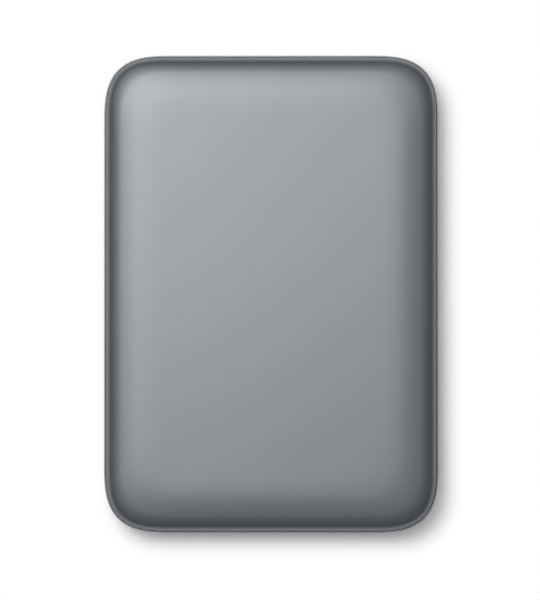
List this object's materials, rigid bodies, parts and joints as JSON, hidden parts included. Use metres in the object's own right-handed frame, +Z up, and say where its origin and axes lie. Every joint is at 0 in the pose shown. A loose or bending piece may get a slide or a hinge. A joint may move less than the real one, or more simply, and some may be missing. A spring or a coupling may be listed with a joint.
{
  "type": "portable external hard drive",
  "caption": "Thin rounded portable hard drive: soft-edged satin grey plastic case with a data socket at one end, and a spinning platter with a swinging head arm sealed inside.",
  "frame": {"origin": "centre of the footprint, on the surface that the rubber feet stand on", "axes": "+Z up through the large top face, +Y along the length towards the socket end, +X to the right seen from above"},
  "size_m": [0.08, 0.1142, 0.0145],
  "materials": {
    "case_plastic": "satin moulded, fine texture",
    "foot_rubber": "matt",
    "bumper_rubber": "matt",
    "light_guide": "clear",
    "board_laminate": "solder mask",
    "chip_epoxy": "matt",
    "connector_plastic": "moulded",
    "socket_steel": "nickel plated",
    "contact_gold": "gold flash",
    "can_steel": "plated",
    "indicator_lens": "diffuse",
    "capacitor_ceramic": "fired",
    "cast_aluminium": "cast and coated",
    "machined_aluminium": "machined",
    "lid_steel": "stamped",
    "gasket_rubber": "moulded",
    "screw_steel": "machined",
    "bearing_steel": "ground",
    "core_steel": "nickel plated",
    "copper_wire": "enamelled winding",
    "magnet_nickel": "nickel plated",
    "platter_mirror": "polished",
    "ramp_plastic": "moulded",
    "stop_rubber": "moulded",
    "filter_cloth": "felt",
    "ribbon_film": "polyimide",
    "spring_steel": "rolled",
    "slider_ceramic": "lapped"
  },
  "bodies": {
    "case": {"top_cover": "case_plastic", "bottom_cover": "case_plastic", "foot_1": "foot_rubber", "foot_2": "foot_rubber", "foot_3": "foot_rubber", "foot_4": "foot_rubber", "bumper_1": "bumper_rubber", "bumper_2": "bumper_rubber", "bumper_3": "bumper_rubber", "bumper_4": "bumper_rubber", "light_pipe": "light_guide", "bridge_board": "board_laminate", "drive_board": "board_laminate", "bridge_chip": "chip_epoxy", "flash_chip": "chip_epoxy", "controller_chip": "chip_epoxy", "motor_driver_chip": "chip_epoxy", "memory_chip": "chip_epoxy", "usb_tongue": "connector_plastic", "sata_plug": "connector_plastic", "sata_receptacle": "connector_plastic", "flex_bracket": "connector_plastic", "usb_shell": "socket_steel", "usb_contacts": "contact_gold", "sata_plug_contacts": "contact_gold", "sata_receptacle_contacts": "contact_gold", "crystal": "can_steel", "activity_led": "indicator_lens", "board_capacitors": "capacitor_ceramic", "drive_base": "cast_aluminium", "drive_lid": "lid_steel", "lid_gasket": "gasket_rubber", "lid_screws": "screw_steel", "board_screws": "screw_steel", "motor_sleeve": "bearing_steel", "pivot_shaft": "bearing_steel", "stator_core": "core_steel", "lower_yoke": "core_steel", "upper_yoke": "core_steel", "yoke_posts": "core_steel", "stator_coils": "copper_wire", "lower_magnet": "magnet_nickel", "upper_magnet": "magnet_nickel", "load_ramp": "ramp_plastic", "travel_stops": "stop_rubber", "air_filter": "filter_cloth", "flex_ribbon": "ribbon_film"},
    "spindle": {"spindle_hub": "machined_aluminium", "rotor_magnet": "magnet_nickel", "platter": "platter_mirror", "platter_clamp": "screw_steel", "clamp_screw": "screw_steel"},
    "actuator": {"actuator_arm": "machined_aluminium", "pivot_sleeve": "bearing_steel", "voice_coil": "copper_wire", "suspension_upper": "spring_steel", "suspension_lower": "spring_steel", "slider_upper": "slider_ceramic", "slider_lower": "slider_ceramic"}
  },
  "joints": [
    {"name": "spindle_spin", "type": "hinge", "parent": "case", "child": "spindle", "pos_m": [0, -0.0176, 0.0073], "axis": [0, 0, 1], "continuous": true},
    {"name": "actuator_swing", "type": "hinge", "parent": "case", "child": "actuator", "pos_m": [0.01953, 0.02071, 0.0073], "axis": [0, 0, 1], "range_deg": [0, 32]}
  ]
}
